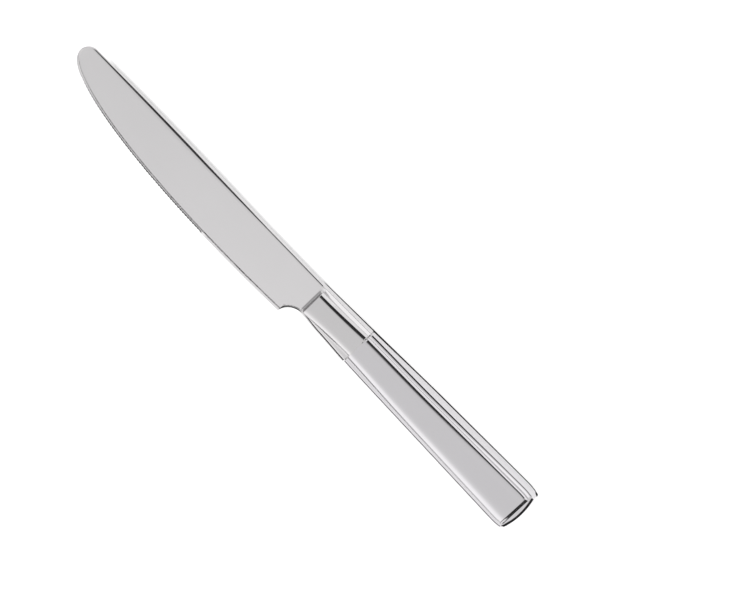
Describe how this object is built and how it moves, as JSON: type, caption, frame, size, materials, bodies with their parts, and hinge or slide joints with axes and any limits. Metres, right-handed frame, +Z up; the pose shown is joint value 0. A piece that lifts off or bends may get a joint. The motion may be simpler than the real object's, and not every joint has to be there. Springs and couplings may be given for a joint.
{
  "type": "dessert knife",
  "caption": "Dessert knife with a rounded, finely toothed blade, a bolster with tapering bevels and a flared hollow handle with a raised panel on each face.",
  "frame": {"origin": "middle of the flat stretch of the handle's back panel, on the surface that the knife lies on", "axes": "+X along the knife towards the tip, +Y towards the cutting edge, +Z up out of the face that the picture shows"},
  "size_m": [0.2099, 0.0206, 0.008],
  "materials": {
    "blade_steel": "fine lengthwise polish on a hardened stainless blade",
    "handle_steel": "bright polished stainless sheet",
    "braze": "pale silver braze, polished flush",
    "cement": "dull grey setting cement"
  },
  "bodies": {
    "root": {"blade": "blade_steel", "handle_front_shell": "handle_steel", "handle_back_shell": "handle_steel", "seam_braze": "braze", "bolster_braze": "braze", "handle_cement": "cement"}
  },
  "joints": []
}
